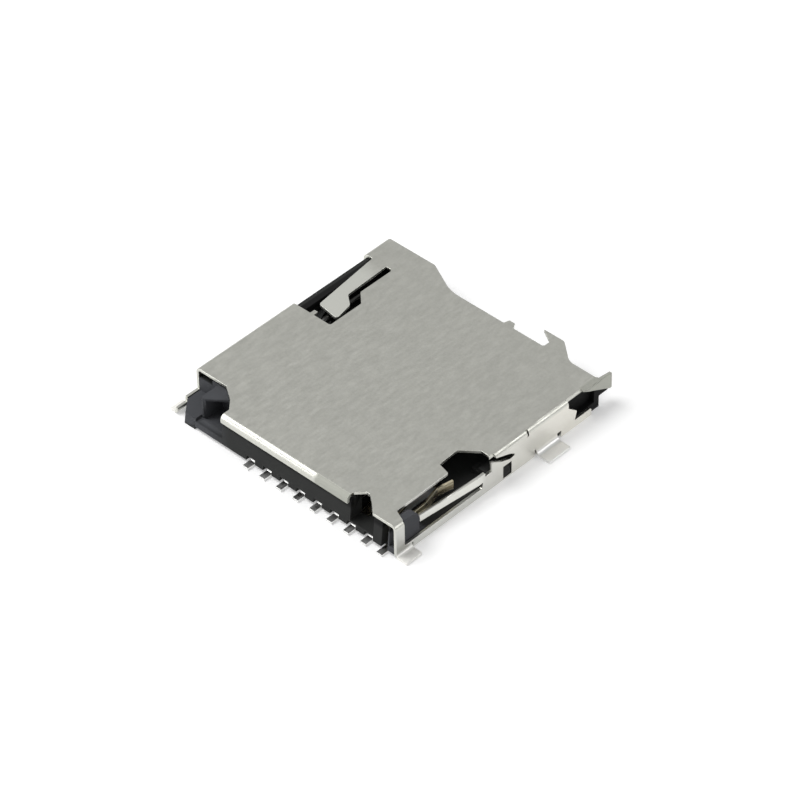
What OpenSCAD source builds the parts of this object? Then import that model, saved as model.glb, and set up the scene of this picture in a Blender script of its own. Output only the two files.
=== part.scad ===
// Push-push socket for a small memory card, surface mounted on a board
// Millimetres, +Z up, the board is z = 0, the card goes in from +Y, solder tails at -Y

/* [Card] */
// Width of the card
card_w = 11; // [10.8:0.05:11.4]
// Free play on each side of the card
card_play = 0.1; // [0.06:0.01:0.16]
// Distance from the card's straight edge to the first contact
first_contact = 1; // [0.95:0.01:1.1]
// Spacing of the contacts
pitch = 1.1; // [1.06:0.01:1.14]
// How far the card pushes the slider at most
stroke = 3.6; // [3.2:0.05:3.7]
// How far the slider stands back when the card is held
lock_travel = 3; // [2.7:0.05:3.1]

/* [Body] */
// Length from the rear lip to the front edge of the shell
body_l = 15; // [14.8:0.05:15.6]
// Height of the slot between the floor and the shell
slot_h = 1.34; // [1.3:0.01:1.45]
// Gap between the housing and the shell
fit_gap = 0.03; // [0.02:0.005:0.05]
// Gap around the pieces that slide
run_gap = 0.05; // [0.03:0.01:0.08]

/* [Shell] */
// Thickness of the sheet
sheet_t = 0.16; // [0.14:0.01:0.2]
// Outside radius of the long folds
fold_r = 0.28; // [0.24:0.01:0.34]
// Height of the lower edge of the side walls above the board
wall_lift = 0.04; // [0.03:0.01:0.1]
// Depth of the wide recess in the front edge
recess_d = 0.95; // [0.7:0.05:1.1]
// Height of the rear lip
lip_h = 0.45; // [0.38:0.01:0.55]
// Width of the notch in the rear edge
notch_w = 1.64; // [1.5:0.02:1.8]
// Depth of that notch
notch_d = 0.84; // [0.7:0.02:0.88]
// Distance of the notch from the card's straight edge
notch_run = 0.64; // [0.6:0.01:0.7]
// Length of the cut in the rear left corner
corner_cut_l = 1.7; // [1.5:0.05:1.9]
// Height of the stub left by the carrier strip on the front edge
stub_h = 0.32; // [0.2:0.01:0.4]
// Distance of that stub from the left side of the card's slot
stub_run = 6.1; // [5.8:0.05:6.4]
// Width of the slot beside the finger
gap_w = 0.4; // [0.3:0.01:0.42]
// Reach of the front solder feet outside the walls
foot_reach = 0.85; // [0.6:0.05:0.95]
// Reach of the right rear foot
rear_reach = 0.65; // [0.5:0.05:0.8]
// Reach of the small foot at the left rear corner
corner_reach = 0.36; // [0.3:0.01:0.5]
// Inside radius of the bends of the large feet
foot_r = 0.3; // [0.2:0.01:0.34]
// Width of the front feet
foot_w = 1.5; // [1.2:0.05:1.6]
// Width of the rear feet
rear_foot_w = 1.05; // [0.8:0.05:1.1]
// Drop of the free end of the finger that presses on the rod
finger_drop = 0.18; // [0.1:0.01:0.2]
// Height of the detect tongue
tongue_h = 0.5; // [0.4:0.01:0.56]
// Inward bend of the free end of the detect tongue
tongue_bend = 0.33; // [0.25:0.01:0.36]

/* [Housing] */
// Thickness of the floor
floor_t = 0.5; // [0.46:0.01:0.6]
// Thickness of the wall on the card's straight side
side_wall_t = 0.54; // [0.5:0.01:0.6]
// Thickness of the wall outside the slider
outer_wall_t = 0.54; // [0.46:0.01:0.6]
// Thickness of the rear wall
rear_wall_t = 0.7; // [0.6:0.02:0.8]
// Set-back of the front edge of the floor from the shell
front_inset = 0.95; // [0.9:0.01:1.05]
// Set-back of the hinge block from the front of the shell
block_inset = 0.25; // [0.2:0.01:0.4]
// Height of the housing's rear edge above the board
rear_lift = 0.18; // [0.15:0.01:0.2]
// Thickness of the wall that the spring stands on
seat_t = 0.35; // [0.3:0.01:0.5]
// Height of the rails that carry the card
rail_h = 0.3; // [0.2:0.01:0.36]

/* [Contacts] */
// Width of a contact
contact_w = 0.5; // [0.4:0.01:0.54]
// Width of the solder tails
tail_w = 0.36; // [0.3:0.01:0.4]
// Thickness of the contact strip
contact_t = 0.15; // [0.1:0.01:0.16]
// Distance from the housing's back to the bend of a tail
bend_run = 0.36; // [0.34:0.01:0.4]
// Reach of the solder tails behind the shell
tail_reach = 0.35; // [0.25:0.05:0.6]
// Distance from the rear of the shell to the contact point
apex_run = 3.7; // [3.4:0.05:3.9]
// Height of the contact point above the board
apex_h = 1.1; // [1:0.01:1.15]
// Distance from the rear of the shell to the free end of the detect leaf
detect_l = 4.7; // [4.4:0.05:4.8]
// Inward bow of the detect leaf
detect_bow = 0.29; // [0.2:0.01:0.3]

/* [Ejector] */
// Width of the slider
slider_w = 2.04; // [2.02:0.01:2.2]
// Width of the raised edge of the slider beside the card
edge_w = 0.32; // [0.28:0.01:0.34]
// Diameter of the rod's wire
rod_d = 0.36; // [0.3:0.01:0.37]
// Length of the rod between its two bent ends
rod_l = 5.3; // [5.2:0.05:5.4]
// Distance from the front edge of the shell to the rod's hinge
pivot_run = 1.2; // [1.15:0.01:1.3]
// Clearance of the rod in its bore, on the radius
pivot_play = 0.03; // [0.02:0.005:0.05]
// Clearance of the rod in the cam groove, on each side
groove_play = 0.04; // [0.03:0.005:0.05]
// Sideways swing of the rod's free end over the stroke
swing = 0.55; // [0.5:0.01:0.56]
// Depth of the cam groove
groove_d = 0.4; // [0.3:0.01:0.44]
// Outside diameter of the spring
spring_d = 1.05; // [0.95:0.01:1.06]
// Wire diameter of the spring
wire_d = 0.14; // [0.1:0.01:0.15]
// Number of turns of the spring
spring_turns = 13; // [11:1:14]
// Thickness of the hook's strip
hook_t = 0.1; // [0.08:0.01:0.12]
// Reach of the hook in front of the slider's arm
hook_l = 1.5; // [1.3:0.05:1.5]
// Depth of the hook's nose
hook_nose = 0.28; // [0.2:0.01:0.3]

/* [Hidden] */
$fn = 48;
arc_steps = 8;
eps = 0.01;
far = 3;

body_w = 2 * (sheet_t + fit_gap + card_play + run_gap) + side_wall_t + card_w + slider_w + outer_wall_t;
body_h = floor_t + slot_h + sheet_t;
half_w = body_w / 2;
front_y = (body_l + tail_reach) / 2;
rear_y = front_y - body_l;
roof_z = body_h - sheet_t;

// Housing faces
out_r = half_w - sheet_t - fit_gap;
out_l = -out_r;
top_z = roof_z - fit_gap;
slot_r = out_r - side_wall_t;
slot_l = slot_r - card_w - 2 * card_play;
channel_l = out_l + outer_wall_t;
back_y = rear_y + sheet_t + fit_gap;
back_in_y = back_y + rear_wall_t;
mouth_y = front_y - front_inset;
block_front_y = front_y - block_inset;

// Contacts
seat_z = 0.34;
slot_play = 0.02;
window_play = 0.1;
contact_x0 = slot_r - card_play - first_contact;
detect_x = contact_x0 + pitch;
apex_y = rear_y + apex_run;
window_y = apex_y + 1.1;

// Ejector, at rest
groove_w = rod_d + 2 * groove_play;
slide_l = channel_l + run_gap;
slide_r = slot_l - run_gap;
edge_x = slide_r - edge_w;
rod_x = edge_x - groove_play - groove_w / 2 - swing;
pivot_y = front_y - pivot_run;
tip_y = pivot_y - rod_l;
rod_z = roof_z - finger_drop - 0.05 - rod_d / 2;
rod_bend = rod_d / 2 + 0.12;
slide_z = floor_t + run_gap;
cam_z = rod_z - rod_d / 2 - run_gap;
groove_z = cam_z - groove_d;
swing_angle = asin(swing / rod_l);
push_end = [swing, stroke + rod_l * (1 - cos(swing_angle))];
head_y = tip_y - groove_w / 2 - 0.03;
slide_back_y = head_y - 0.45;
slide_front_y = tip_y + push_end[1] + groove_w / 2 + 0.25;
block_y = slide_front_y + 0.12;
arm_y = tip_y + 1.1;
arm_l = 1.2;
arm_x = slot_l + 1.33;
arm_z = cam_z + 0.2;
hook_h = 0.5;

// Spring
seat_y = rear_y + corner_cut_l + seat_t;
chamber_l = slot_l - spring_d - 0.4;
spring_x = (chamber_l + slot_l) / 2;
spring_z = floor_t + 0.07 + spring_d / 2;
spring_r = (spring_d - wire_d) / 2;
spring_l = slide_back_y - seat_y;
peg_d = spring_d - 2 * wire_d - 0.16;
peg_l = 0.7;

// Shell features, measured from the rear edge or from the front edge
side_cut_y = rear_y + 0.58;
plate_cut_y = rear_y + 0.88;
tongue_tip_y = rear_y + 1.95;
tongue_root_y = rear_y + 5.85;
slit_y = rear_y + 6.5;
slit_end_y = rear_y + 8.2;
latch_y = rear_y + 7.3;
latch_w = 0.58;
latch_h = 0.74;
latch_z = wall_lift + 0.08;
left_latch_y = rear_y + 4.7;
hollow_d = 0.3;
relief_y = rear_y + 9;
relief_w = 0.08;
corner_foot_y = rear_y + 0.2;
corner_foot_w = 0.8 * rear_foot_w;
corner_foot_r = 0.15;
rear_foot_r = 0.2;
corner_foot_z = 0.4;
foot_y = rear_y + 9.6;
wall_end_y = rear_y + 11.8;
flange_y = front_y - 2.05;
strip_l = 1.75;
strip_z = wall_lift + 0.44;
tongue_z = strip_z + 0.32;
window_x = half_w - 0.78;
finger_y = front_y - 1.72;
finger_l = 4.2;
finger_x = rod_x - 0.14;
step_z = body_h - 0.9;
left_strip_z = step_z - 0.2;
left_step_z = step_z - 0.42;
corner_y = rear_y + corner_cut_l;
lip_l = slot_l + 0.48;
notch_r = slot_r - card_play - notch_run;
notch_l = notch_r - notch_w;
stub_x = slot_l + stub_run;

function unit(v) = v / norm(v);
function left_of(v) = [-v[1], v[0]];

// Points of the arc that rounds the corner b between a and c
function arc_at(a, b, c, r) =
  let (
    u = unit(a - b),
    v = unit(c - b),
    half = acos(u * v) / 2,
    m = b + unit(u + v) * r / sin(half),
    s = b + u * r / tan(half) - m,
    e = b + v * r / tan(half) - m,
    a0 = atan2(s[1], s[0]),
    sweep = (atan2(e[1], e[0]) - a0 + 900) % 360 - 180
  )
  [for (i = [0 : arc_steps]) m + r * [cos(a0 + sweep * i / arc_steps), sin(a0 + sweep * i / arc_steps)]];

// Open path whose inner corners are rounded by the radii r
function rounded(p, r) = [
  p[0],
  for (i = [1 : len(p) - 2]) each arc_at(p[i - 1], p[i], p[i + 1], r[i - 1]),
  p[len(p) - 1]
];

// Closed outline whose corners are rounded by the radii r, 0 for a sharp corner
function rounded_loop(p, r) = [
  for (i = [0 : len(p) - 1])
    each r[i] > 0 ? arc_at(p[(i + len(p) - 1) % len(p)], p[i], p[(i + 1) % len(p)], r[i]) : [p[i]]
];

// Direction across a path at its point i, longer where the path turns
function across(p, i) =
  let (
    n = left_of(unit(p[min(i + 1, len(p) - 1)] - p[min(i, len(p) - 2)])),
    m = left_of(unit(p[max(i, 1)] - p[max(i - 1, 0)])),
    s = unit(n + m)
  )
  s / (s * n);

// Outline of a strip of thickness t along a path
function strip(p, t) = concat(
  [for (i = [0 : len(p) - 1]) p[i] + across(p, i) * t / 2],
  [for (i = [len(p) - 1 : -1 : 0]) p[i] - across(p, i) * t / 2]
);

module along_x(x0, x1) {
  translate([x0, 0, 0]) rotate([90, 0, 90]) linear_extrude(x1 - x0) children();
}

module along_y(y0, y1) {
  translate([0, y1, 0]) rotate([90, 0, 0]) linear_extrude(y1 - y0) children();
}

module along_z(z0, z1) {
  translate([0, 0, z0]) linear_extrude(z1 - z0) children();
}

module box(x0, x1, y0, y1, z0, z1) {
  translate([x0, y0, z0]) cube([x1 - x0, y1 - y0, z1 - z0]);
}

// Straight slot with round ends
module slot(a, b, w) {
  translate(a) circle(d = w);
  translate(b) circle(d = w);
  translate(a) rotate(atan2(b[1] - a[1], b[0] - a[0])) translate([0, -w / 2]) square([norm(b - a), w]);
}

// Rectangle on z0 with rounded upper corners
module arch(w, z0, z1, r) {
  translate([-w / 2, z0]) square([w, z1 - r - z0]);
  translate([r - w / 2, z0]) square([w - 2 * r, z1 - z0]);
  for (s = [-1, 1]) translate([s * (w / 2 - r), z1 - r]) circle(r = r);
}

// Slope from the front edge at x0 down to the recess at y1, at x1, both ends rounded
function slope(x0, x1, y1, r0, r1) = concat(
  arc_at([x0 - far, front_y], [x0, front_y], [x1, y1], r0),
  arc_at([x0, front_y], [x1, y1], [x1 + far, y1], r1)
);

// Edge of the plate with the two recesses at the card's mouth
module mouth_cuts() {
  a = front_y - recess_d;
  step_x = slot_r - 2.82;
  tab_x = slot_r - 2.32;
  end_x = half_w - sheet_t;
  stub = [[stub_x - 0.32, a], [stub_x - 0.22, a + stub_h], [stub_x + 0.14, a + stub_h], [stub_x + 0.32, a]];
  polygon(concat(
      [[slot_l, front_y + far]],
      slope(slot_l + 0.36, slot_l + 2.27, a, 0.3, 2.5),
      stub,
      arc_at([step_x - 1, a], [step_x, a], [step_x, a + 0.44], 0.12),
      arc_at([step_x, a], [step_x, a + 0.44], [step_x - 0.78, front_y - 0.05], 0.16),
      [[step_x - 0.78, front_y - 0.05]],
      [[step_x - 0.78, front_y + far]]
    ));
  polygon(concat(
      [[tab_x - 0.2, front_y + far]],
      slope(tab_x, tab_x + 1.15, a, 0.25, 0.8),
      arc_at([end_x - 0.5, a], [end_x, a], [end_x, front_y], 0.1),
      [[end_x, front_y + far]]
    ));
}

// Window around the finger, open to the left wall
module finger_window() {
  inner = finger_x + gap_w;
  deep_y = finger_y - finger_l - 0.82;
  polygon(rounded_loop([
      [-half_w - far, finger_y],
      [inner, finger_y],
      [inner, finger_y - 2.25],
      [inner + 0.63, finger_y - 2.85],
      [inner + 0.63, deep_y],
      [rod_x - 0.22, deep_y],
      [rod_x - 0.22, deep_y + 0.3],
      [rod_x - 0.46, deep_y + 0.3],
      [rod_x - 0.46, deep_y],
      [-half_w - far, deep_y]
    ], [0, 0.16, 0.15, 0.15, 0.1, 0, 0.05, 0.05, 0, 0]));
}

// Finger seen from above
module finger_outline() {
  polygon(rounded_loop([
      [finger_x - 0.97, finger_y + 0.3],
      [finger_x, finger_y + 0.3],
      [finger_x, finger_y - 2.7],
      [finger_x + 0.6, finger_y - 3.18],
      [finger_x + 0.8, finger_y - finger_l - 0.14],
      [finger_x - 0.6, finger_y - finger_l + 0.08]
    ], [0, 0, 0.2, 0.25, 0.16, 0.16]));
}

// Left rear corner of the plate, cut away
module corner_cut() {
  polygon(rounded_loop([
      [-half_w - far, corner_y],
      [lip_l - 1.3, corner_y],
      [lip_l - 0.5, corner_y - 0.53],
      [lip_l, corner_y - 1.1],
      [lip_l, rear_y - far],
      [-half_w - far, rear_y - far]
    ], [0, 0.1, 0.1, 0.1, 0, 0]));
}

// Window in the plate over the detect leaf, open to the right wall
module detect_window() {
  polygon(rounded_loop([
      [half_w + far, side_cut_y],
      [half_w - 0.06, side_cut_y],
      [window_x, plate_cut_y],
      [window_x, rear_y + 4.36],
      [window_x - 0.72, rear_y + 4.54],
      [window_x - 0.76, rear_y + 5.79],
      [window_x + 0.1, slit_y],
      [half_w + far, slit_y]
    ], [0, 0.1, 0.12, 0.08, 0.08, 0.08, 0.08, 0]));
}

// Notch in the rear edge beside the lip, deepest at its left
module rear_notch() {
  polygon(rounded_loop([
      [notch_l, rear_y - far],
      [notch_l, rear_y + notch_d / 2],
      [notch_l + notch_w / 4, rear_y + notch_d],
      [notch_l + 0.4 * notch_w, rear_y + notch_d],
      [notch_r - notch_w / 3, rear_y + 0.6 * notch_d],
      [notch_r, rear_y],
      [notch_r, rear_y - far]
    ], [0, 0.12, 0.12, 0.12, 0.2, 0, 0]));
}

// Room around the bend of a foot at the lower edge of a wall
module foot_relief(y0, y1, r) {
  translate([y0 - relief_w, -far]) square([y1 - y0 + 2 * relief_w, far + r + sheet_t]);
}

// Right wall seen from the side, parts cut away between the rear strip and the front flange
module right_wall_cuts() {
  polygon(rounded_loop([
      [side_cut_y, strip_z],
      [tongue_root_y, strip_z],
      [tongue_root_y + 0.2, body_h - 0.34],
      [slit_y, body_h - 0.34],
      [latch_y - 0.06, body_h - 0.74],
      [slit_end_y - 0.4, body_h - 0.95],
      [slit_end_y, body_h - 0.88],
      [slit_end_y - 0.42, body_h - 0.62],
      [slit_y + 0.3, body_h - 0.26],
      [slit_y, body_h + far],
      [side_cut_y, body_h + far]
    ], [0.1, 0.06, 0.06, 0.1, 0.1, 0.06, 0.06, 0.3, 0.1, 0, 0]));
  translate([latch_y, latch_z]) square([latch_w, latch_h]);
  translate([relief_y, body_h - 0.4]) square([0.1, far]);
  foot_relief(rear_y, rear_y + rear_foot_w, rear_foot_r);
  foot_relief(foot_y, foot_y + foot_w + 0.2, foot_r);
  polygon(rounded_loop([
      [wall_end_y + 0.1, body_h + far],
      [wall_end_y + 0.1, body_h - 0.5],
      [wall_end_y + 0.7, body_h - 1],
      [wall_end_y + 0.55, strip_z],
      [wall_end_y + strip_l, strip_z],
      [wall_end_y + strip_l, -far],
      [front_y + far, -far],
      [front_y + far, body_h - 1.2],
      [front_y - 0.12, body_h - 1.12],
      [flange_y, body_h - 0.14],
      [flange_y, body_h + far]
    ], [0, 0.1, 0.1, 0.06, 0.1, 0, 0, 0, 0.1, 0.05, 0]));
  polygon([
      [front_y - recess_d - 0.02, body_h + far],
      [front_y - recess_d + 0.08, body_h - 0.1],
      [front_y + eps, body_h - 0.22],
      [front_y + eps, body_h + far]
    ]);
}

// Left wall seen from the side
module left_wall_cuts() {
  translate([finger_y - finger_l - 0.82, left_strip_z]) square([finger_l + 0.82, far]);
  translate([rear_y - far, left_step_z]) square([corner_y - rear_y + far, far]);
  translate([rear_y - far, -far]) square([far + 0.2, far + body_h]);
  translate([left_latch_y, latch_z]) square([latch_w, latch_h]);
  translate([rear_y - far, corner_foot_z]) square([far + 0.88, far]);
  foot_relief(corner_foot_y, corner_foot_y + corner_foot_w, corner_foot_r);
  foot_relief(foot_y, foot_y + foot_w, foot_r);
}

// Solder foot from y0 to y1, bent out of the right wall below the height z1
module foot(y0, y1, reach, r, z1) {
  outer = r + sheet_t;
  along_y(y0, y1) {
    translate([half_w - sheet_t, outer]) square([sheet_t, z1 - outer]);
    translate([half_w + r, outer]) intersection() {
      difference() {
        circle(r = outer);
        circle(r = r);
      }
      translate([-outer, -outer]) square(outer);
    }
    translate([half_w + r, 0]) square([reach - r, sheet_t]);
  }
}

module rear_lip() {
  along_x(lip_l, notch_l) {
    translate([rear_y + fold_r, body_h - fold_r]) intersection() {
      difference() {
        circle(r = fold_r);
        circle(r = fold_r - sheet_t);
      }
      translate([-fold_r, 0]) square(fold_r);
    }
    translate([rear_y, body_h - lip_h]) square([sheet_t, lip_h - fold_r]);
  }
}

module finger() {
  mid_z = body_h - sheet_t / 2;
  path = rounded([
      [finger_y + 0.3, mid_z],
      [finger_y - 0.3, mid_z],
      [finger_y - finger_l - 0.3, mid_z - finger_drop]
    ], [4]);
  intersection() {
    along_z(0, body_h) finger_outline();
    along_x(-half_w, 0) polygon(strip(path, sheet_t));
  }
}

module tongue() {
  mid_x = half_w - sheet_t / 2;
  path = rounded([
      [mid_x, tongue_root_y + 0.2],
      [mid_x, tongue_root_y - 0.25],
      [mid_x - tongue_bend, tongue_tip_y]
    ], [2]);
  intersection() {
    along_z(tongue_z, tongue_z + tongue_h) polygon(strip(path, sheet_t));
    along_x(half_w - far, half_w + far) polygon(rounded_loop([
        [tongue_tip_y - 0.1, tongue_z + 0.06],
        [tongue_root_y + 0.2, tongue_z],
        [tongue_root_y + 0.2, tongue_z + tongue_h],
        [tongue_tip_y - 0.1, tongue_z + tongue_h - 0.06]
      ], [0.12, 0, 0, 0.12]));
  }
}

module shell() {
  color([0.72, 0.72, 0.69]) {
    difference() {
      along_y(rear_y, front_y) difference() {
        arch(body_w, wall_lift, body_h, fold_r);
        arch(body_w - 2 * sheet_t, wall_lift - far, roof_z, fold_r - sheet_t);
      }
      along_z(step_z, body_h + far) {
        mouth_cuts();
        finger_window();
        corner_cut();
        detect_window();
        rear_notch();
        translate([lip_l, rear_y - far]) square([notch_l - lip_l, far + fold_r]);
      }
      along_x(half_w - sheet_t - eps, half_w + far) right_wall_cuts();
      along_x(-half_w - far, eps + sheet_t - half_w) left_wall_cuts();
    }
    rear_lip();
    finger();
    tongue();
    foot(rear_y, rear_y + rear_foot_w, rear_reach, rear_foot_r, strip_z);
    foot(foot_y, foot_y + foot_w, foot_reach, foot_r, body_h / 2);
    mirror([1, 0, 0]) foot(foot_y, foot_y + foot_w, foot_reach, foot_r, body_h / 2);
    mirror([1, 0, 0]) foot(corner_foot_y, corner_foot_y + corner_foot_w, corner_reach, corner_foot_r, corner_foot_z);
  }
}

// Strip of a contact from its tail to its free end, seen from the side
function contact_path() = rounded([
    [rear_y - tail_reach, contact_t / 2],
    [back_y + bend_run - 0.32, contact_t / 2],
    [back_y + bend_run - 0.2, seat_z],
    [back_in_y + 0.1, seat_z],
    [apex_y, apex_h + 0.02],
    [apex_y + 0.75, floor_t + 0.05]
  ], [0.12, 0.12, 0.5, 0.3]);

// Contact seen from above, narrower at its tail and at the contact point
module contact_outline() {
  half = contact_w / 2;
  tail = tail_w / 2;
  polygon([
    [-tail, rear_y - far],
    [tail, rear_y - far],
    [tail, back_y + 0.2],
    [half, back_y + 0.3],
    [half, back_in_y + 0.6],
    [half - 0.06, apex_y - 0.2],
    [half - 0.06, apex_y + far],
    [0.06 - half, apex_y + far],
    [0.06 - half, apex_y - 0.2],
    [-half, back_in_y + 0.6],
    [-half, back_y + 0.3],
    [-tail, back_y + 0.2]
  ]);
}

module contact(i) {
  color([0.83, 0.68, 0.36])
    translate([contact_x0 - (i - 1) * pitch, 0, 0]) intersection() {
      along_x(-contact_w, contact_w) polygon(strip(contact_path(), contact_t));
      along_z(-far, far) contact_outline();
    }
}

// Detect leaf: tail and upright from one strip, arm folded off the upright's outer edge
module detect_leaf() {
  t = contact_t - 0.03;
  upright_y = back_y + bend_run;
  arm_x0 = slot_r + 0.03;
  tail = rounded([
      [rear_y - tail_reach, t / 2],
      [upright_y, t / 2],
      [upright_y, tongue_z + tongue_h]
    ], [0.12]);
  arm = rounded([
      [detect_x - contact_w / 2, upright_y],
      [arm_x0, upright_y],
      [arm_x0, rear_y + 0.55 * detect_l],
      [arm_x0 - detect_bow, rear_y + 0.8 * detect_l],
      [arm_x0 - 0.4 * detect_bow, rear_y + detect_l]
    ], [0.12, 0.8, 0.4]);
  color([0.83, 0.68, 0.36]) {
    along_x(detect_x - contact_w / 2, arm_x0 - 0.12) polygon(strip(tail, t));
    box(detect_x - contact_w / 2, detect_x - contact_w / 2 + tail_w, rear_y - tail_reach, back_y + 0.2, 0, t);
    along_z(tongue_z, tongue_z + tongue_h) polygon(strip(arm, t));
  }
}

// Heart-shaped loop that the rod's free end follows, from its rest point
module cam_loop() {
  rest = [0, 0];
  lock = [-0.02, lock_travel];
  turn = [-0.5, stroke];
  back = [-0.5, 1.2];
  slot(rest, push_end, groove_w);
  slot(push_end, lock, groove_w);
  slot(lock, turn, groove_w);
  slot(turn, back, groove_w);
  slot(back, rest, groove_w);
}

module slider() {
  color([0.13, 0.13, 0.13])
    difference() {
      union() {
        box(slide_l, slide_r, slide_back_y, slide_front_y, slide_z, cam_z);
        box(slide_l + 0.35, slide_r, slide_back_y, head_y, slide_z, top_z - run_gap - 0.07);
        box(edge_x, slide_r, slide_back_y, slide_front_y, slide_z, top_z - run_gap - 0.07);
        along_z(slide_z, arm_z) polygon([
            [slide_r - eps, arm_y],
            [arm_x, arm_y],
            [arm_x, arm_y + arm_l - 0.55],
            [arm_x - 0.55, arm_y + arm_l],
            [slide_r - eps, arm_y + arm_l]
          ]);
        translate([spring_x, slide_back_y + eps, spring_z]) rotate([90, 0, 0]) cylinder(d = peg_d, h = peg_l);
      }
      along_z(groove_z, cam_z + far) translate([rod_x, tip_y]) cam_loop();
      box(slide_r + 0.05, slide_r + 0.05 + hook_t, arm_y + 0.5, arm_y + arm_l + eps, arm_z - hook_h, arm_z + eps);
    }
}

// Leaf in a slit of the slider's arm, with a nose that drops into the card's notch
module card_hook() {
  x = slide_r + 0.05 + hook_t / 2;
  y = arm_y + arm_l;
  path = rounded([
      [x, arm_y + 0.5],
      [x, y + hook_l / 3],
      [x + hook_nose, y + 0.7 * hook_l],
      [x + 0.02, y + hook_l]
    ], [0.4, 0.2]);
  color([0.75, 0.75, 0.73])
    along_z(arm_z - hook_h, arm_z) polygon(strip(path, hook_t));
}

// Wire rod with both ends bent down: the front end turns in the housing, the rear end rides in the groove
module cam_rod() {
  color([0.7, 0.7, 0.68]) translate([rod_x, 0, 0]) {
    translate([0, pivot_y - rod_bend, rod_z]) rotate([90, 0, 0]) cylinder(d = rod_d, h = rod_l - 2 * rod_bend);
    for (end = [[pivot_y, 1, floor_t + 0.05], [tip_y, -1, groove_z + 0.05]]) {
      translate([0, end[0] - end[1] * rod_bend, rod_z - rod_bend])
        rotate([0, 0, 90 * end[1]]) rotate([90, 0, 0]) rotate_extrude(angle = 90)
          translate([rod_bend, 0]) circle(d = rod_d);
      translate([0, end[0], end[2]]) cylinder(d = rod_d, h = rod_z - rod_bend - end[2]);
    }
  }
}

// Height of the spring's wire along its axis after a share of its turns, close-wound at both ends
function coil_y(turn) =
  let (
    closed = wire_d * 1.2,
    open = (spring_l - wire_d - 2 * closed) / (spring_turns - 2)
  )
  wire_d / 2 + (turn < 1 ? turn * closed
    : turn > spring_turns - 1 ? closed + (spring_turns - 2) * open + (turn - spring_turns + 1) * closed
    : closed + (turn - 1) * open);

module eject_spring() {
  steps = 14;
  sides = 6;
  rings = spring_turns * steps;
  points = [
    for (i = [0 : rings], k = [0 : sides - 1])
      let (a = 360 * i / steps, b = 360 * k / sides, r = spring_r + wire_d / 2 * cos(b))
        [r * cos(a), coil_y(i / steps) + wire_d / 2 * sin(b), r * sin(a)]
  ];
  skin = [
    for (i = [0 : rings - 1], k = [0 : sides - 1], half = [0, 1])
      let (a = i * sides + k, b = i * sides + (k + 1) % sides)
        half == 0 ? [a, b, b + sides] : [a, b + sides, a + sides]
  ];
  first = [for (k = [sides - 1 : -1 : 0]) k];
  last = [for (k = [0 : sides - 1]) rings * sides + k];
  color([0.7, 0.7, 0.68])
    translate([spring_x, seat_y, spring_z]) polyhedron(points, concat(skin, [first, last]));
}

// Catch on the right wall that clicks into the shell's window
module catch(y0) {
  play = 0.04;
  nose_x = half_w - play;
  along_y(y0 + play, y0 + latch_w - play) polygon([
      [out_r - eps, latch_z + play],
      [nose_x, latch_z + play],
      [nose_x, latch_z + latch_h / 2],
      [out_r - eps, latch_z + latch_h - play]
    ]);
}

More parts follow.
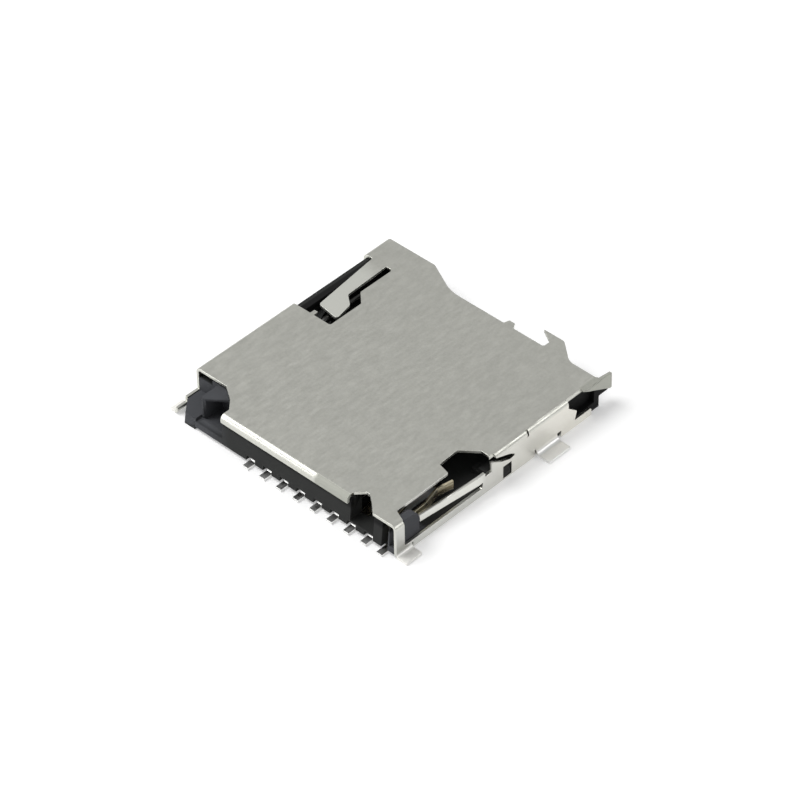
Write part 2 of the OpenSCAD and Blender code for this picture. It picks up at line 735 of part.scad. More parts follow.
module housing() {
  corner_in = lip_l - 1.84;
  corner_back_y = back_y + 0.36;
  pocket_y = corner_y - 0.03;
  block_top = top_z - 0.06;
  low_top = left_step_z - fit_gap;
  ear_l = slot_r + 0.33;
  color([0.13, 0.13, 0.13]) {
    difference() {
      union() {
        box(out_l, out_r, seat_y - seat_t, mouth_y, 0, floor_t);
        box(corner_in, out_r, back_y, seat_y, 0, floor_t);
        box(lip_l - eps, slot_r + 0.2, back_y, back_in_y, 0, top_z);
        box(corner_in, lip_l, corner_back_y, seat_y, 0, block_top);
        box(out_l, corner_in + eps, seat_y - seat_t, seat_y, 0, block_top);
        along_z(0, low_top) polygon([
            [out_l, seat_y],
            [out_l, rear_y + 0.85],
            [out_l + 0.62, back_y + 0.02],
            [corner_in + eps, back_y + 0.02],
            [corner_in + eps, seat_y]
          ]);
        box(out_l, chamber_l, seat_y - eps, slide_back_y - stroke - 0.15, 0, top_z);
        box(out_l, channel_l, seat_y - eps, block_front_y, 0, top_z);
        box(slot_l, slot_l + 0.48, back_in_y - eps, arm_y - stroke - 0.3, 0, top_z - 0.1);
        box(out_l, slot_l, block_y, block_front_y, 0, cam_z);
        box(out_l, slot_l, pivot_y + rod_d / 2 + 0.12, block_front_y, 0, top_z);
        along_x(slot_r, out_r) polygon(rounded_loop([
            [back_y + 0.5, 0],
            [tongue_tip_y - 0.18, 0],
            [tongue_tip_y - 0.18, top_z],
            [back_y + 0.5, top_z]
          ], [0, 0, 0.5, 0]));
        box(slot_r, out_r, tongue_root_y + 0.5, mouth_y, 0, body_h - 1);
        box(slot_r, out_r, slit_end_y, mouth_y, 0, top_z);
        box(ear_l, out_r, mouth_y - eps, mouth_y + 0.24, 0, body_h - 0.7);
        box(ear_l, out_r, mouth_y - eps, front_y - 0.07, body_h - 1.34, body_h - 0.7);
        box(slot_r - 0.42, slot_r + eps, tongue_root_y + 0.5, mouth_y - 0.4, 0, floor_t + rail_h);
        box(arm_x + 0.1, arm_x + 0.45, back_in_y - eps, mouth_y - 0.4, 0, floor_t + rail_h);
        translate([spring_x, seat_y - eps, spring_z]) rotate([-90, 0, 0]) cylinder(d = peg_d, h = peg_l);
      }
      for (i = [1 : 8]) translate([contact_x0 - (i - 1) * pitch, 0, 0]) {
        half = contact_w / 2;
        box(-half - slot_play, half + slot_play, back_y - 1, back_in_y + eps, -1, seat_z + contact_t / 2);
        box(-half - window_play, half + window_play, back_in_y - eps, window_y, -1, floor_t + 1);
      }
      box(detect_x - contact_w / 2 - slot_play, slot_r + 0.11, back_y - 1, back_y + 0.45, -1, top_z + 1);
      box(detect_x, detect_x + contact_w / 2 + slot_play, back_y - 1, back_y + 0.22, -1, contact_t);
      box(slot_r - 0.06, slot_r + 0.11, back_y, tongue_root_y + 0.4, floor_t, top_z + 1);
      box(corner_in + 0.28, lip_l - 0.18, back_y - 1, pocket_y, floor_t, block_top - 0.17);
      along_z(floor_t, top_z + 1) polygon([
          [corner_in + 0.28, back_y - 1],
          [lip_l - 0.18, back_y - 1],
          [lip_l - 0.18, pocket_y],
          [corner_in + 0.28, corner_back_y + 0.02]
        ]);
      box(out_l - 1, out_l + 0.9, corner_y - 1, seat_y + 0.3, block_top - 0.32, top_z + 1);
      box(corner_in, out_r + 1, back_y - 1, back_y + 0.3, -1, rear_lift);
      box(notch_l + 0.08, notch_r - 0.08, back_y - 1, back_in_y + eps, floor_t, top_z + 1);
      box(out_r - hollow_d, out_r + 1, wall_end_y - 0.2, mouth_y - 0.12, strip_z, top_z + 1);
      translate([rod_x, pivot_y, floor_t]) cylinder(d = rod_d + 2 * pivot_play, h = 4);
      along_x(slot_l + 0.1, slot_r - 0.1) polygon([
          [mouth_y - 0.35, floor_t + eps],
          [mouth_y + eps, floor_t + eps],
          [mouth_y + eps, floor_t - 0.22]
        ]);
    }
    catch(latch_y);
    mirror([1, 0, 0]) catch(left_latch_y);
  }
}

housing();
shell();
contact(1);  // contact_1
contact(2);  // contact_2
contact(3);  // contact_3
contact(4);  // contact_4
contact(5);  // contact_5
contact(6);  // contact_6
contact(7);  // contact_7
contact(8);  // contact_8
detect_leaf();
slider();
card_hook();
cam_rod();
eject_spring();
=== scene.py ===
import math

import bmesh
import bpy
from mathutils import Matrix, Vector
from mathutils.bvhtree import BVHTree
from mathutils.kdtree import KDTree


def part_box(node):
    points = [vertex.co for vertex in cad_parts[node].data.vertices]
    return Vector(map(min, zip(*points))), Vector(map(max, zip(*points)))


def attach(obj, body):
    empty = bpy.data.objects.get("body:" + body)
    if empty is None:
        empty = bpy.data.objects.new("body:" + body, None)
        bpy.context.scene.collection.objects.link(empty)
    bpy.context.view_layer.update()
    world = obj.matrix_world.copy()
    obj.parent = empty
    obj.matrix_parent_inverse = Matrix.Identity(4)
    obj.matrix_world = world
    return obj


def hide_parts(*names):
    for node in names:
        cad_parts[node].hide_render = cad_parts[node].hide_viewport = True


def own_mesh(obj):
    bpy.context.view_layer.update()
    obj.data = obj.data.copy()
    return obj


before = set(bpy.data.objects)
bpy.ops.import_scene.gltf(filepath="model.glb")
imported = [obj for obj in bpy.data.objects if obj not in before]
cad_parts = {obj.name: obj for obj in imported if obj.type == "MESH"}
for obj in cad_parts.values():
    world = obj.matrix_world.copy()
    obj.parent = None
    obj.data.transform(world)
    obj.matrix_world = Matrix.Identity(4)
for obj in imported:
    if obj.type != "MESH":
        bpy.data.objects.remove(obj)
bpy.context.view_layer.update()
mm = 0.001  # the frame is in metres, sizes below are in millimetres
print("frame loaded:", len(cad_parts), "nodes")


def addNode(tree, kind, inputs=None, **settings):
    node = tree.nodes.new(kind)
    for key, value in settings.items():
        setattr(node, key, value)
    for key, value in (inputs or {}).items():
        if isinstance(value, bpy.types.NodeSocket):
            tree.links.new(value, node.inputs[key])
        else:
            node.inputs[key].default_value = value
    return node


def newFinish(name):
    material = bpy.data.materials.new(name)
    material.use_nodes = True
    tree = material.node_tree
    return material, tree, tree.nodes["Principled BSDF"]


def feedShader(tree, shader, feeds):
    for socketName, value in feeds.items():
        tree.links.new(value, shader.inputs[socketName])


def combine(tree, kind, first, second):
    return addNode(tree, "ShaderNodeMath", {0: first, 1: second}, operation=kind).outputs[0]


def times(tree, first, *others):  # product of masks
    for other in others:
        first = combine(tree, "MULTIPLY", first, other)
    return first


def eitherOf(tree, first, *others):  # the largest of masks
    for other in others:
        first = combine(tree, "MAXIMUM", first, other)
    return first


# A Mix node's numbers are its sockets 2 and 3, its colours 6 and 7
def blendNumbers(tree, factor, first, second):
    return addNode(tree, "ShaderNodeMix", {0: factor, 2: first, 3: second}, data_type="FLOAT").outputs[0]


def blendColours(tree, factor, first, second):
    return addNode(tree, "ShaderNodeMix", {0: factor, 6: first, 7: second}, data_type="RGBA").outputs[2]


def placeOn(tree):  # the piece's own coordinates
    return addNode(tree, "ShaderNodeTexCoord").outputs["Object"]


def placeAxes(tree):
    apart = addNode(tree, "ShaderNodeSeparateXYZ", {"Vector": placeOn(tree)}).outputs
    return {axis: apart[axis] for axis in "XYZ"}


def outwardFrom(tree, place):  # distance from the middle plane, to either side
    return addNode(tree, "ShaderNodeMath", {0: place["X"]}, operation="ABSOLUTE").outputs[0]


def grain(tree, scale, stretch, detail, roughness):
    turned = addNode(tree, "ShaderNodeMapping", {"Vector": placeOn(tree), "Scale": stretch})
    noise = addNode(tree, "ShaderNodeTexNoise", {
        "Vector": turned.outputs["Vector"], "Scale": scale, "Detail": detail, "Roughness": roughness,
    })
    return noise.outputs["Fac"]


def spread(tree, value, low, high, fromLow=0.3, fromHigh=0.7):  # noise lies mostly between 0.3 and 0.7
    node = addNode(tree, "ShaderNodeMapRange", {
        "Value": value, "From Min": fromLow, "From Max": fromHigh, "To Min": low, "To Max": high,
    })
    return node.outputs["Result"]


def below(tree, place, limit, blur):  # 1 below the limit, fading to 0 above it
    return spread(tree, place, 1, 0, (limit - blur / 2) * mm, (limit + blur / 2) * mm)


def above(tree, place, limit, blur):
    return spread(tree, place, 0, 1, (limit - blur / 2) * mm, (limit + blur / 2) * mm)


def region(tree, place, sides):  # 1 inside all its sides, each given as axis, below or above, limit, blur
    return times(tree, *[side(tree, place[axis], limit, blur) for axis, side, limit, blur in sides])


def bumpFrom(tree, height, strength, depth):
    node = addNode(tree, "ShaderNodeBump", {"Height": height, "Strength": strength, "Distance": depth * mm})
    return node.outputs["Normal"]


rolledSteel = {
    "dull": (0.465, 0.467, 0.425, 1),
    "bright": (0.545, 0.545, 0.503, 1),
    "fingerPaintedLight": (0.55, 0.555, 0.515, 1),  # finger, painted light: painted lighter for the light its tilt catches
    "tonguePaintedLight": (0.60, 0.60, 0.565, 1),  # tongue, painted light: painted lighter for the floor light its tilted face catches
    "tinned": (0.78, 0.78, 0.765, 1),  # feet
    # painted light: the rear foot is painted near white, lifting it out of the object's shadow
    "rearFootPaintedLight": (0.97, 0.96, 0.92, 1),
    # painted shade over the fold highlights of the lip's right end and the right front flange
    "paintedDark": (0.45, 0.455, 0.415, 1),
    "wallRear": (0.48, 0.48, 0.455, 1),
    "wallFront": (0.66, 0.645, 0.59, 1),
    "wallY": (-2.5, 5.0),  # painted light: the right wall's colour brightens from rear to front, lifting the front where it reflects the shadowed floor
    "lines": (5200, (1, 0.3, 1), 4, 0.5),  # rolling lines along the length: scale, stretch, detail, roughness
    "clouds": (1500, (1, 0.8, 1), 4, 0.6),
    "specks": (7600, (1, 0.8, 1), 3, 0.7),
    "toneRange": (0.42, 1.08),  # lines times clouds, plus specks
    "roughness": (0.30, 0.42),
    "fingerRoughness": 0.5,
    "paintedDarkRoughness": 0.8,
    "footMetal": 0.55,
    "rearFootLess": 0.45,
    "bump": (0.22, 0.004),  # strength, depth
    "fingerRoot": [("X", below, -5.6, 0.04)],
    "fingerEnd": [("X", below, -4.92, 0.04), ("Y", below, 3.25, 0.04)],
    "fingerLength": [("Y", above, 1.2, 0.02), ("Y", below, 5.25, 0.9)],
    "tongue": [("X", above, 6.6, 0.04), ("Y", above, -5.95, 0.04), ("Y", below, -1.5, 0.6), ("Z", above, 0.62, 0.1)],
    "feet": [("outward", above, 7.44, 0.06)],
    "rearFoot": [("Y", below, -5.5, 0.2)],
    "wall": [("X", above, 7.34, 0.06), ("Z", below, 1.76, 0.16)],
    "paintedDarkLip": [("X", above, 2.15, 0.2), ("X", below, 4.6, 0.04), ("Y", below, -7.07, 0.06)],  # painted shade: its right end is painted darker, taking out the fold's highlight
    "paintedDarkFlange": [("X", above, 7.1, 0.06), ("Y", above, 5.55, 0.1), ("Z", above, 0.85, 0.04)],
}


def makeRolledSteel(spec):
    material, tree, shader = newFinish("rolledSteel")
    line, cloud, speck = (grain(tree, *spec[key]) for key in ("lines", "clouds", "specks"))
    tone = combine(tree, "ADD", times(tree, line, cloud), speck)
    place = placeAxes(tree)
    place["outward"] = outwardFrom(tree, place)
    finger = eitherOf(tree, region(tree, place, spec["fingerRoot"]), region(tree, place, spec["fingerEnd"]))
    finger = times(tree, finger, region(tree, place, spec["fingerLength"]))
    feet = region(tree, place, spec["feet"])
    rearFoot = times(tree, feet, region(tree, place, spec["rearFoot"]))
    # painted shade over the fold highlights of the lip's right end and the flange
    paintedDark = eitherOf(tree, region(tree, place, spec["paintedDarkLip"]), region(tree, place, spec["paintedDarkFlange"]))
    # painted light on the right wall, rising from rear to front
    rearY, frontY = spec["wallY"]
    towardsFront = spread(tree, place["Y"], 0, 1, rearY * mm, frontY * mm)
    wallPaintedLight = blendColours(tree, towardsFront, spec["wallRear"], spec["wallFront"])
    colour = blendColours(tree, spread(tree, tone, 0, 1, *spec["toneRange"]), spec["dull"], spec["bright"])
    for mask, over in [
        (region(tree, place, spec["wall"]), wallPaintedLight),
        (finger, spec["fingerPaintedLight"]),
        (region(tree, place, spec["tongue"]), spec["tonguePaintedLight"]),
        (paintedDark, spec["paintedDark"]),
        (feet, spec["tinned"]),
        (rearFoot, spec["rearFootPaintedLight"]),
    ]:
        colour = blendColours(tree, mask, colour, over)
    rough = spread(tree, line, *spec["roughness"])
    rough = blendNumbers(tree, finger, rough, spec["fingerRoughness"])
    rough = blendNumbers(tree, paintedDark, rough, spec["paintedDarkRoughness"])
    metal = spread(tree, feet, 1.0, spec["footMetal"], 0, 1)
    metal = combine(tree, "SUBTRACT", metal, times(tree, rearFoot, spec["rearFootLess"]))
    normal = bumpFrom(tree, speck, *spec["bump"])
    feedShader(tree, shader, {"Base Color": colour, "Roughness": rough, "Metallic": metal, "Normal": normal})
    return material


mouldedBlack = {
    "base": (0.0225, 0.0232, 0.0226, 1),
    "pale": (0.046, 0.0475, 0.046, 1),
    "lift": 1.0,
    "flow": (900, (1, 0.4, 1), 3, 0.5),  # scale, stretch, detail, roughness
    "flowTone": 0.5,
    "fibres": (7000, (0.35, 1, 1), 5, 0.7),  # glass fibre flecks near the skin
    "fleckTone": 0.7,
    "fleckRange": (0.55, 0.75),
    "skin": (12000, (1, 1, 1), 2, 0.5),
    "bump": (0.35, 0.006),  # strength, depth
    "roughness": (0.55, 0.75),
    "sheen": 0.12,
    "paler": (0.080, 0.083, 0.092, 1),  # lighter on the right rear post and the left rear block
    "palerFrom": 0.7,
    "post": [("X", above, 6.62, 0.06), ("Y", below, -5.2, 0.2)],
    "block": [("X", below, -4.4, 1.6), ("Y", below, -5.57, 0.1)],
    "paintedShade": (0.006, 0.006, 0.006, 1),  # painted shade: under the lip, under the right front corner and beside the finger
    "underLip": [("Y", below, -6.95, 0.1), ("Z", above, 1.28, 0.2)],
    "corner": [("X", above, 5.2, 0.4), ("Y", above, 4.6, 0.4)],
    "beside": [("X", above, -6.99, 0.08), ("X", below, -6.6, 0.04), ("Y", above, 0.5, 0.2), ("Z", above, 1.5, 0.1)],
    "raised": [("Z", above, 0.1, 0.1)],  # the underside stays even
}
mouldedCharcoal = {**mouldedBlack, "lift": 1.5}


def makeMouldedPlastic(name, spec):
    material, tree, shader = newFinish(name)
    flow, fibre, skin = (grain(tree, *spec[key]) for key in ("flow", "fibres", "skin"))
    fleck = spread(tree, fibre, 0, spec["fleckTone"], *spec["fleckRange"])
    tone = eitherOf(tree, fleck, spread(tree, flow, 0, spec["flowTone"]))
    base, pale = (tuple(c * spec["lift"] for c in spec[key][:3]) + (1,) for key in ("base", "pale"))
    place = placeAxes(tree)
    raised = region(tree, place, spec["raised"])
    paler = eitherOf(tree, *[region(tree, place, spec[key]) for key in ("post", "block")])
    # painted shade under the lip, the right front corner and beside the finger
    paintedShade = eitherOf(tree, *[region(tree, place, spec[key]) for key in ("underLip", "corner", "beside")])
    paler = times(tree, paler, raised, spread(tree, tone, spec["palerFrom"], 1, 0, 1))
    paintedShade = times(tree, paintedShade, raised)
    colour = blendColours(tree, paler, blendColours(tree, tone, base, pale), spec["paler"])
    colour = blendColours(tree, paintedShade, colour, spec["paintedShade"])
    rough = spread(tree, flow, *spec["roughness"])
    feedShader(tree, shader, {"Base Color": colour, "Roughness": rough, "Normal": bumpFrom(tree, skin, *spec["bump"])})
    shader.inputs["Specular IOR Level"].default_value = spec["sheen"]
    return material


platedContact = {
    "gold": (0.86, 0.79, 0.60, 1),
    "goldDeep": (0.36, 0.30, 0.19, 1),
    "tin": (0.72, 0.72, 0.71, 1),
    "tinDull": (0.58, 0.58, 0.57, 1),
    "tinEnd": (-7.0, 0.1),  # tinned tail behind this y, gold flash in front, and the blur between
    "wander": 0.05,  # of that line
    "wanderGrain": (6000, (1, 1, 1), 2, 0.5),  # scale, stretch, detail, roughness
    "waves": (3500, (1, 0.3, 1), 4, 0.5),
    "streaks": (8000, (1, 0.03, 0), 2, 0.5),  # drawn marks along the strip
    "streakRange": (0.38, 0.58),
    "skin": (16000, (1, 0.2, 1), 3, 0.5),
    "bump": (0.2, 0.003),  # strength, depth
    "roughness": (0.22, 0.4),
}
platedLeaf = {**platedContact, "streaks": (8000, (0, 0.03, 1), 2, 0.5)}  # its strip stands upright


def makePlating(name, spec):
    material, tree, shader = newFinish(name)
    wander = spread(tree, grain(tree, *spec["wanderGrain"]), -spec["wander"] * mm, spec["wander"] * mm)
    plated = above(tree, combine(tree, "ADD", placeAxes(tree)["Y"], wander), *spec["tinEnd"])
    wave = grain(tree, *spec["waves"])
    streak = spread(tree, grain(tree, *spec["streaks"]), 0, 1, *spec["streakRange"])
    gold = blendColours(tree, streak, spec["goldDeep"], spec["gold"])
    tin = blendColours(tree, spread(tree, wave, 0, 1), spec["tinDull"], spec["tin"])
    feedShader(tree, shader, {
        "Base Color": blendColours(tree, plated, tin, gold),
        "Roughness": spread(tree, wave, *spec["roughness"]),
        "Normal": bumpFrom(tree, grain(tree, *spec["skin"]), *spec["bump"]),
    })
    shader.inputs["Metallic"].default_value = 1
    return material


drawnWire = {
    "dull": (0.40, 0.40, 0.38, 1),
    "bright": (0.56, 0.56, 0.53, 1),
    "roughness": (0.2, 0.34),
    "lines": (9000, (1, 0.15, 1), 4, 0.5),  # scale, stretch, detail, roughness
    "bump": (0.15, 0.003),  # strength, depth
}
# painted shade: the cam rod is painted nearly black, standing in for the shade of the slot it is seen through
paintedShadeWire = {
    **drawnWire,
    "dull": (0.03, 0.03, 0.029, 1),
    "bright": (0.07, 0.07, 0.068, 1),
    "roughness": (0.3, 0.45),
}


def makeWire(name, spec):
    material, tree, shader = newFinish(name)
    line = grain(tree, *spec["lines"])
    feedShader(tree, shader, {
        "Base Color": blendColours(tree, spread(tree, line, 0, 1), spec["dull"], spec["bright"]),
        "Roughness": spread(tree, line, *spec["roughness"]),
        "Normal": bumpFrom(tree, line, *spec["bump"]),
    })
    shader.inputs["Metallic"].default_value = 1
    return material


steel = makeRolledSteel(rolledSteel)
plastic = makeMouldedPlastic("mouldedBlack", mouldedBlack)
sliderPlastic = makeMouldedPlastic("mouldedCharcoal", mouldedCharcoal)
plating = makePlating("platedContact", platedContact)
leafPlating = makePlating("platedLeaf", platedLeaf)
wire = makeWire("drawnWire", drawnWire)
rodWire = makeWire("paintedShadeWire", paintedShadeWire)
print("finishes made")


edgeBreak = {
    "merge": 0.0004,  # points closer than this are one
    "collapse": 0.0002,
    "flat": 0.4,  # degrees, faces closer than this are one
    "sharp": 28,  # degrees, edges sharper than this are broken
    "segments": 2,
    "tries": 6,
    "stray": 0.6,  # widths that a new point may lie off the old surface
    "turned": -0.3,  # a new face that points against the old one more than this is a fold
    "least": 0.02,  # square widths, smaller folds don't show
    "crowd": 3,  # widths round a fault in which corners stay sharp
    "flatWeight": 100,
}


# Sharp edges are broken as stamping and moulding leave them; where there is no room for it the corner stays
def breakEdges(shape, width, spec):
    tree = BVHTree.FromBMesh(shape)
    corners = KDTree(len(shape.verts))
    for index, vert in enumerate(shape.verts):
        corners.insert(vert.co, index)
    corners.balance()
    crowded = set()
    for attempt in range(spec["tries"]):
        trial = shape.copy()
        trial.verts.ensure_lookup_table()
        trial.verts.index_update()
        sharp = [edge for edge in trial.edges
                 if len(edge.link_faces) == 2 and edge.calc_face_angle(0) > math.radians(spec["sharp"])
                 and not any(vert.index in crowded for vert in edge.verts)]
        bmesh.ops.bevel(trial, geom=sharp, offset=width, offset_type="OFFSET", segments=spec["segments"], profile=0.5,
                        affect="EDGES", clamp_overlap=False, miter_outer="ARC", miter_inner="SHARP")
        strays = [vert.co for vert in trial.verts if tree.find_nearest(vert.co)[3] > spec["stray"] * width]
        for face in trial.faces:
            centre = face.calc_center_median()
            oldNormal = tree.find_nearest(centre)[1]
            if oldNormal.dot(face.normal) < spec["turned"] and face.calc_area() > spec["least"] * width * width:
                strays.append(centre)
        if not strays:
            break
        for place in strays:
            crowded.update(index for co, index, gap in corners.find_range(place, spec["crowd"] * width))
            crowded.add(corners.find(place)[1])
        trial.free()
        trial = None
    print("  edges broken:", len(sharp), "corners left:", len(crowded), "tries:", attempt + 1)
    return trial or shape


rearDraft = {"from": -6.7, "to": -7.05, "top": 1.3, "run": 0.2}  # the housing's rear wall runs out towards its foot


def leanRear(shape, spec):
    for vert in shape.verts:
        share = (vert.co.y / mm - spec["from"]) / (spec["to"] - spec["from"])
        drop = max(0, 1 - vert.co.z / mm / spec["top"])
        vert.co.y -= spec["run"] * mm * min(1, max(0, share)) * drop


def settled(piece):  # the evaluated mesh becomes the piece's own
    graph = bpy.context.evaluated_depsgraph_get()
    evaluated = piece.evaluated_get(graph)
    made = bpy.data.meshes.new_from_object(evaluated, preserve_all_data_layers=True, depsgraph=graph)
    piece.modifiers.clear()
    piece.data = made
    return piece


# A merged copy of a CAD node with its edges broken
def softenedCopy(nodeName, edge, material, name):
    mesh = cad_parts[nodeName].data.copy()
    mesh.name = name
    shape = bmesh.new()
    shape.from_mesh(mesh)
    bmesh.ops.remove_doubles(shape, verts=shape.verts, dist=edgeBreak["merge"] * mm)
    bmesh.ops.dissolve_degenerate(shape, edges=shape.edges, dist=edgeBreak["collapse"] * mm)
    flat = math.radians(edgeBreak["flat"])
    bmesh.ops.dissolve_limit(shape, angle_limit=flat, verts=shape.verts, edges=shape.edges)
    shape.verts.index_update()
    broken = breakEdges(shape, edge * mm, edgeBreak)
    if nodeName == "housing":
        leanRear(broken, rearDraft)
    for face in broken.faces:
        face.smooth = True
    broken.to_mesh(mesh)
    broken.free()
    if mesh.has_custom_normals:
        mesh.attributes.remove(mesh.attributes["custom_normal"])
    mesh.materials.clear()
    mesh.materials.append(material)
    piece = bpy.data.objects.new(name, mesh)
    bpy.context.scene.collection.objects.link(piece)
    mesh.transform(Matrix.Scale(1 / mm, 4))  # in metres the faces are too small for the modifier
    weigh = piece.modifiers.new("flatFaces", "WEIGHTED_NORMAL")
    weigh.weight = edgeBreak["flatWeight"]
    settled(piece).data.transform(Matrix.Scale(mm, 4))
    return piece


dressed = {
    "housing": {"edge": 0.02, "finish": plastic, "slot": "housing", "body": "base"},
    "shell": {"edge": 0.018, "finish": steel, "slot": "shell", "body": "base"},
    "detect_leaf": {"edge": 0.012, "finish": leafPlating, "slot": "contact", "body": "base"},
    "slider": {"edge": 0.018, "finish": sliderPlastic, "slot": "slider", "body": "slide"},
    "card_hook": {"edge": 0.01, "finish": wire, "slot": "spring_steel", "body": "slide"},
    "cam_rod": {"edge": 0.03, "finish": rodWire, "slot": "spring_steel", "body": "rod"},
}
for nodeName, spec in dressed.items():
    piece = softenedCopy(nodeName, spec["edge"], spec["finish"], nodeName + "Skin")
    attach(piece, spec["body"])
    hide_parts(nodeName)
    print("dressed", nodeName, len(piece.data.polygons), "faces")


def newTree(name, sockets):
    tree = bpy.data.node_groups.new(name, "GeometryNodeTree")
    ids = {}
    for socketName, kind, value in sockets:
        socket = tree.interface.new_socket(socketName, in_out="INPUT", socket_type=kind)
        if value is not None:
            socket.default_value = value
        ids[socketName] = socket.identifier
    tree.interface.new_socket("Geometry", in_out="OUTPUT", socket_type="NodeSocketGeometry")
    start = tree.nodes.new("NodeGroupInput")
    end = tree.nodes.new("NodeGroupOutput")
    return tree, ids, start.outputs, end.inputs


def endTree(tree, grown, finish, result):
    real = addNode(tree, "GeometryNodeRealizeInstances", {"Geometry": grown})
    painted = addNode(tree, "GeometryNodeSetMaterial", {"Geometry": real.outputs["Geometry"], "Material": finish})
    tree.links.new(painted.outputs["Geometry"], result["Geometry"])


def growPiece(name, mesh, tree, values):  # values are set by socket identifier, then the result is kept as a plain mesh
    piece = bpy.data.objects.new(name, mesh)
    bpy.context.scene.collection.objects.link(piece)
    grow = piece.modifiers.new("grow", "NODES")
    grow.node_group = tree
    for identifier, value in values.items():
        grow[identifier] = value
    piece.update_tag()
    bpy.context.view_layer.update()
    return settled(piece)


# Contact row: one contact, repeated at the card's pitch by a node tree
contactRow = {"count": 8, "pitch": 1.1, "edge": 0.012}


def makeContactRow(spec):
    first = softenedCopy("contact_1", spec["edge"], plating, "contactMaster")
    tree, ids, given, result = newTree("contactRow", [
        ("Geometry", "NodeSocketGeometry", None),
        ("Count", "NodeSocketInt", 2),
        ("Pitch", "NodeSocketFloat", mm),
        ("Finish", "NodeSocketMaterial", None),
    ])
    step = addNode(tree, "ShaderNodeCombineXYZ", {"X": combine(tree, "MULTIPLY", given["Pitch"], -1.0)})
    row = addNode(tree, "GeometryNodeMeshLine", {"Count": given["Count"], "Offset": step.outputs[0]}, mode="OFFSET")
    copies = addNode(tree, "GeometryNodeInstanceOnPoints", {
        "Points": row.outputs["Mesh"], "Instance": given["Geometry"],
    })
    endTree(tree, copies.outputs["Instances"], given["Finish"], result)
    piece = growPiece("contactRow", first.data, tree, {
        ids["Count"]: spec["count"], ids["Pitch"]: spec["pitch"] * mm, ids["Finish"]: plating,
    })
    bpy.data.objects.remove(first)
    return piece


contacts = makeContactRow(contactRow)
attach(contacts, "base")
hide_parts(*["contact_%d" % (i + 1) for i in range(contactRow["count"])])
print("contact row:", len(contacts.data.polygons), "faces")


# Eject spring: close-wound at both ends
ejectSpring = {"turns": 13, "wire": 0.14, "closed": 1.2, "keep": 0.3739, "stepsPerTurn": 30, "sides": 12}


def makeSpring(spec):
    low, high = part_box("eject_spring")
    wireR = spec["wire"] * mm / 2
    coilR = (high.x - low.x) / 2 - wireR
    tree, ids, given, result = newTree("ejectSpring", [
        ("Turns", "NodeSocketFloat", 10.0),
        ("Length", "NodeSocketFloat", 5 * mm),
        ("Coil Radius", "NodeSocketFloat", 0.5 * mm),
        ("Wire Radius", "NodeSocketFloat", 0.1 * mm),
        ("Closed Pitch", "NodeSocketFloat", 0.2 * mm),
        ("Finish", "NodeSocketMaterial", None),
    ])

    def sums(kind, first, second):
        return combine(tree, kind, first, second)

    def limited(value, least, most):
        return addNode(tree, "ShaderNodeClamp", {"Value": value, "Min": least, "Max": most}).outputs[0]

    spiral = addNode(tree, "GeometryNodeCurveSpiral", {
        "Resolution": spec["stepsPerTurn"], "Rotations": given["Turns"], "Height": given["Length"],
        "Start Radius": given["Coil Radius"], "End Radius": given["Coil Radius"],
    })
    count = sums("MULTIPLY", given["Turns"], float(spec["stepsPerTurn"]))
    even = addNode(tree, "GeometryNodeResampleCurve", {"Curve": spiral.outputs[0], "Count": count}, mode="COUNT")

    # the first and the last turn are closed, those between share what length is left
    share = addNode(tree, "GeometryNodeSplineParameter").outputs["Factor"]
    turn = sums("MULTIPLY", share, given["Turns"])
    middle = sums("SUBTRACT", given["Turns"], 2.0)
    closedEnds = sums("MULTIPLY", given["Closed Pitch"], 2.0)
    taken = sums("ADD", closedEnds, sums("MULTIPLY", given["Wire Radius"], 2.0))
    openPitch = sums("DIVIDE", sums("SUBTRACT", given["Length"], taken), middle)
    lastTurn = sums("SUBTRACT", turn, sums("SUBTRACT", given["Turns"], 1.0))
    closedTurns = sums("ADD", limited(turn, 0.0, 1.0), limited(lastTurn, 0.0, 1.0))
    openTurns = limited(sums("SUBTRACT", turn, 1.0), 0.0, middle)
    closedHeight = sums("MULTIPLY", closedTurns, given["Closed Pitch"])
    height = sums("ADD", closedHeight, sums("MULTIPLY", openTurns, openPitch))
    height = sums("ADD", height, given["Wire Radius"])

    position = addNode(tree, "GeometryNodeInputPosition").outputs[0]
    place = addNode(tree, "ShaderNodeSeparateXYZ", {"Vector": position}).outputs
    along = addNode(tree, "ShaderNodeCombineXYZ", {"X": place["X"], "Y": height, "Z": place["Y"]})
    coil = addNode(tree, "GeometryNodeSetPosition", {"Geometry": even.outputs[0], "Position": along.outputs[0]})
    ring = addNode(tree, "GeometryNodeCurvePrimitiveCircle", {
        "Radius": given["Wire Radius"], "Resolution": spec["sides"],
    }, mode="RADIUS")
    swept = addNode(tree, "GeometryNodeCurveToMesh", {
        "Curve": coil.outputs[0], "Profile Curve": ring.outputs[0], "Fill Caps": True,
    })
    smooth = addNode(tree, "GeometryNodeSetShadeSmooth", {"Geometry": swept.outputs[0]})
    endTree(tree, smooth.outputs[0], given["Finish"], result)
    piece = growPiece("springCoil", bpy.data.meshes.new("springCoil"), tree, {
        ids["Turns"]: float(spec["turns"]), ids["Length"]: high.y - low.y, ids["Coil Radius"]: coilR,
        ids["Wire Radius"]: wireR, ids["Closed Pitch"]: spec["closed"] * spec["wire"] * mm, ids["Finish"]: wire,
    })
    piece.data.transform(Matrix.Translation(((low.x + high.x) / 2, low.y, (low.z + high.z) / 2)))
    shape = bmesh.new()
    shape.from_mesh(piece.data)
    bmesh.ops.recalc_face_normals(shape, faces=shape.faces)
    shape.to_mesh(piece.data)
    shape.free()
    return piece, low


spring, springLow = makeSpring(ejectSpring)
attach(spring, "base")
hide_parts("eject_spring")
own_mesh(spring)
print("spring:", len(spring.data.polygons), "faces")


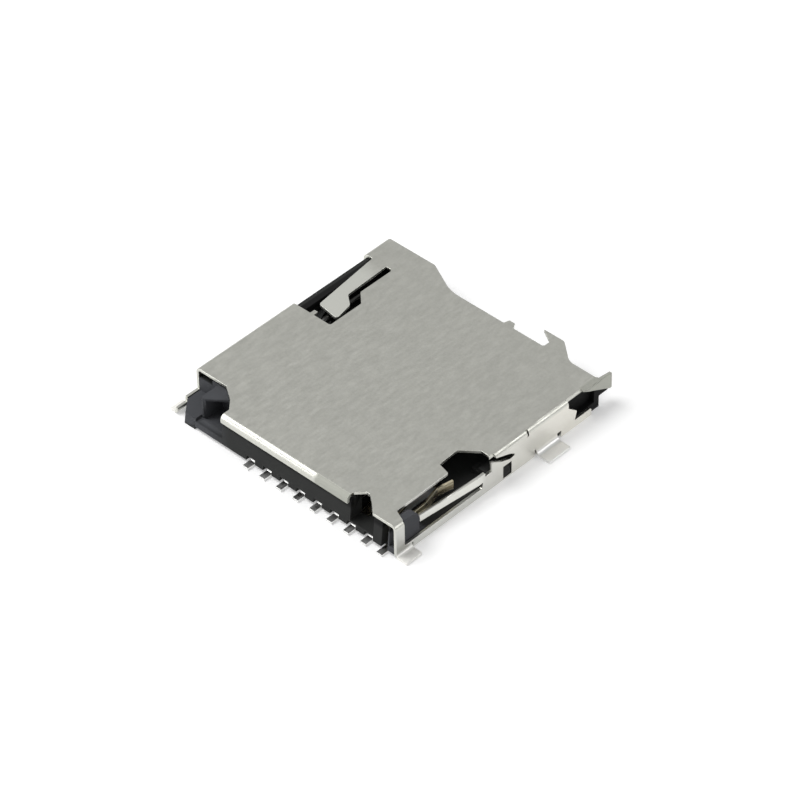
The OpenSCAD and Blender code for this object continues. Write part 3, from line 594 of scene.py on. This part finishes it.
# Floor, world, lamps and the camera at the photograph's angle
palePaper = {
    "radius": 2,  # metres
    "drop": 0.005,
    "colour": (0.86, 0.86, 0.86, 1),
    "roughness": 0.9,
    "specular": 0.1,
    "glow": 0.3,  # seen by the camera
    "mirror": 0.55,  # seen in reflections
    "covered": [("outward", below, 7.1, 0.3), ("Y", above, -6.9, 0.3), ("Y", below, 6.4, 0.3)],  # no glow there
}


def seenStraight(tree, ray):  # by the camera, also through glass
    return eitherOf(tree, ray["Is Camera Ray"], ray["Is Transmission Ray"])


def makeFloor(spec):
    shape = bmesh.new()
    bmesh.ops.create_circle(shape, cap_ends=True, segments=64, radius=spec["radius"])
    bmesh.ops.translate(shape, verts=shape.verts, vec=(0, 0, -spec["drop"] * mm))
    mesh = bpy.data.meshes.new("studioFloor")
    shape.to_mesh(mesh)
    shape.free()
    material, tree, shader = newFinish("palePaper")
    shader.inputs["Base Color"].default_value = spec["colour"]
    shader.inputs["Roughness"].default_value = spec["roughness"]
    shader.inputs["Specular IOR Level"].default_value = spec["specular"]
    shader.inputs["Emission Color"].default_value = (1, 1, 1, 1)
    ray = addNode(tree, "ShaderNodeLightPath").outputs
    straight = times(tree, seenStraight(tree, ray), spec["glow"])
    glow = combine(tree, "ADD", straight, times(tree, ray["Is Glossy Ray"], spec["mirror"]))
    place = placeAxes(tree)
    place["outward"] = outwardFrom(tree, place)
    bare = spread(tree, region(tree, place, spec["covered"]), 1, 0, 0, 1)
    feedShader(tree, shader, {"Emission Strength": times(tree, glow, bare)})
    mesh.materials.append(material)
    floor = bpy.data.objects.new("studioFloor", mesh)
    bpy.context.scene.collection.objects.link(floor)


softDome = {
    "light": 0.55,  # share of it in diffuse light; reflections see it whole
    "horizon": 0.66,
    "overhead": 0.72,
    "rise": (0.15, 0.9),  # heights between which the one turns into the other
}


def makeWorld(spec):
    world = bpy.data.worlds.new("studio")
    bpy.context.scene.world = world
    world.use_nodes = True
    tree = world.node_tree
    back = tree.nodes["Background"]
    ray = addNode(tree, "ShaderNodeLightPath").outputs
    around = addNode(tree, "ShaderNodeTexCoord").outputs["Generated"]
    up = addNode(tree, "ShaderNodeSeparateXYZ", {"Vector": around}).outputs["Z"]
    dome = spread(tree, up, spec["horizon"], spec["overhead"], *spec["rise"])
    seen = blendNumbers(tree, ray["Is Glossy Ray"], times(tree, dome, spec["light"]), dome)
    strength = blendNumbers(tree, seenStraight(tree, ray), seen, 1.0)
    feedShader(tree, back, {"Strength": strength})
    back.inputs["Color"].default_value = (1, 1, 1, 1)


softboxes = [  # place and size in metres, watts
    ((-0.10, -0.06, 0.22), 0.16, 0.35),
    ((0.20, 0.16, 0.15), 0.10, 0.10),
    ((-0.17, -0.18, 0.07), 0.14, 0.16),
]


def makeLamp(index, place, size, watts):
    data = bpy.data.lights.new("softbox%d" % index, "AREA")
    data.shape = "DISK"
    data.size = size
    data.energy = watts
    lamp = bpy.data.objects.new("softbox%d" % index, data)
    lamp.location = place
    lamp.rotation_mode = "QUATERNION"
    lamp.rotation_quaternion = (-Vector(place)).to_track_quat("-Z", "Y")
    bpy.context.scene.collection.objects.link(lamp)


viewpoint = {
    "azimuth": 44.36,
    "elevation": 41.62,
    "roll": -1.24,
    "distance": 0.2,  # metres
    "pixelsPerMetre": 20848,
    "origin": (389.7, 409.8),  # pixel at which the frame's origin lies
    "pixels": 800,  # width and height of the picture
    "sensor": 36,
    "clip": (0.01, 10),
}


def makeCamera(spec):
    a, e, r = (math.radians(spec[key]) for key in ("azimuth", "elevation", "roll"))
    back = Vector((math.sin(a) * math.cos(e), -math.cos(a) * math.cos(e), math.sin(e)))
    right = Vector((math.cos(a), math.sin(a), 0))
    up = back.cross(right)
    right, up = right * math.cos(r) + up * math.sin(r), up * math.cos(r) - right * math.sin(r)
    data = bpy.data.cameras.new("photoCamera")
    data.sensor_width = spec["sensor"]
    data.lens = spec["sensor"] * spec["distance"] * spec["pixelsPerMetre"] / spec["pixels"]
    middle = spec["pixels"] / 2
    data.shift_x = (middle - spec["origin"][0]) / spec["pixels"]
    data.shift_y = (spec["origin"][1] - middle) / spec["pixels"]
    data.clip_start, data.clip_end = spec["clip"]
    camera = bpy.data.objects.new("photoCamera", data)
    turn = Matrix((right, up, back)).transposed().to_4x4()
    camera.matrix_world = Matrix.Translation(back * spec["distance"]) @ turn
    bpy.context.scene.collection.objects.link(camera)
    bpy.context.scene.camera = camera


makeFloor(palePaper)
makeWorld(softDome)
for lampIndex, lampSpec in enumerate(softboxes):
    makeLamp(lampIndex, *lampSpec)
makeCamera(viewpoint)
bpy.context.scene.view_settings.view_transform = "Standard"
print("studio ready")
